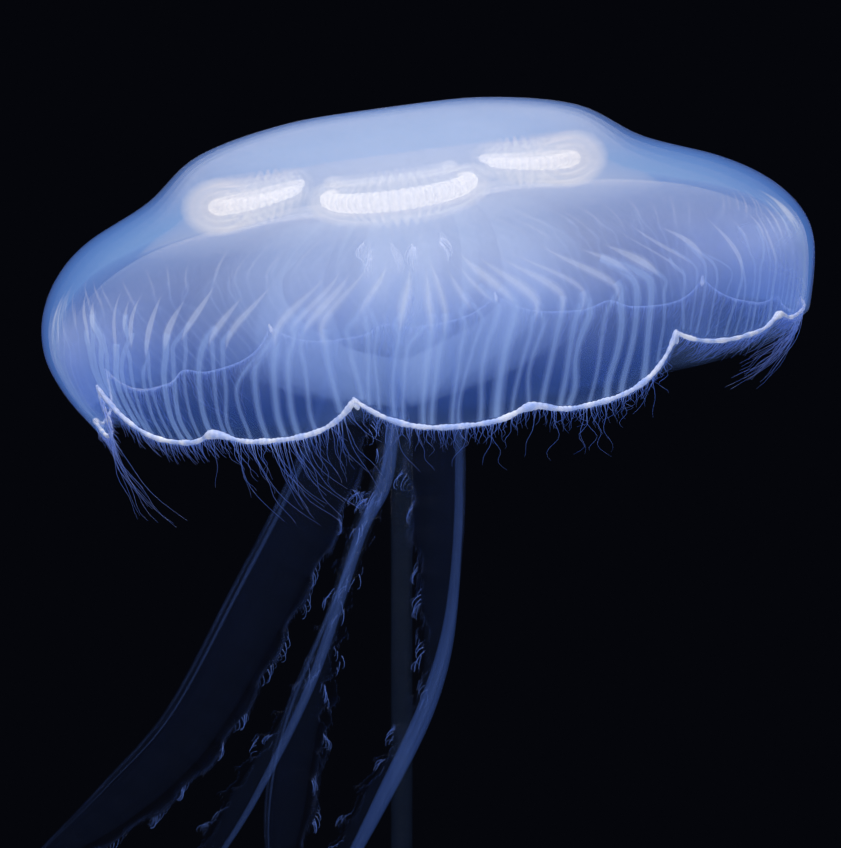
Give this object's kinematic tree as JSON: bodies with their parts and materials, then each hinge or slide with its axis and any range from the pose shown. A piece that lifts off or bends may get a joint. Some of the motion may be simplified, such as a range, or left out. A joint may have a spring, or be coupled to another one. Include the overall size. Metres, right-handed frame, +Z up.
{
  "type": "jellyfish",
  "caption": "Swimming moon jelly with a scalloped bell, tentacle fringe and trailing oral arms, held over a flat round base by a slim rod.",
  "frame": {"origin": "centre of the stand base's flat underside, on the floor", "axes": "+Z up; -Y towards the side that the picture shows; +X to that view's right"},
  "size_m": [0.2559, 0.2435, 0.3343],
  "materials": {
    "crown_jelly": "thick clear blue jelly, wet and smooth",
    "lobe_jelly": "thin clear blue jelly with pale branching canals, wet",
    "sense_bead": "small pale beads",
    "gonad_tissue": "milky white ruffled tissue",
    "mouth_jelly": "cloudy blue jelly",
    "arm_jelly": "thin clear blue frilled jelly with a firmer pale midrib",
    "base_steel": "steel disc with a low boss, powder-coated in satin grey",
    "rod_acrylic": "clear polished acrylic rod"
  },
  "bodies": {
    "root": {"bell_crown": "crown_jelly", "bell_lobe_1": "lobe_jelly", "bell_lobe_2": "lobe_jelly", "bell_lobe_3": "lobe_jelly", "bell_lobe_4": "lobe_jelly", "bell_lobe_5": "lobe_jelly", "bell_lobe_6": "lobe_jelly", "bell_lobe_7": "lobe_jelly", "bell_lobe_8": "lobe_jelly", "sense_bead_1": "sense_bead", "sense_bead_2": "sense_bead", "sense_bead_3": "sense_bead", "sense_bead_4": "sense_bead", "sense_bead_5": "sense_bead", "sense_bead_6": "sense_bead", "sense_bead_7": "sense_bead", "sense_bead_8": "sense_bead", "gonad_1": "gonad_tissue", "gonad_2": "gonad_tissue", "gonad_3": "gonad_tissue", "gonad_4": "gonad_tissue", "mouth": "mouth_jelly", "arm_front_left_1": "arm_jelly", "arm_front_left_2": "arm_jelly", "arm_front_left_3": "arm_jelly", "arm_front_right_1": "arm_jelly", "arm_front_right_2": "arm_jelly", "arm_front_right_3": "arm_jelly", "arm_back_right_1": "arm_jelly", "arm_back_right_2": "arm_jelly", "arm_back_right_3": "arm_jelly", "arm_back_left_1": "arm_jelly", "arm_back_left_2": "arm_jelly", "arm_back_left_3": "arm_jelly", "stand_base": "base_steel", "stand_rod": "rod_acrylic"}
  },
  "joints": []
}
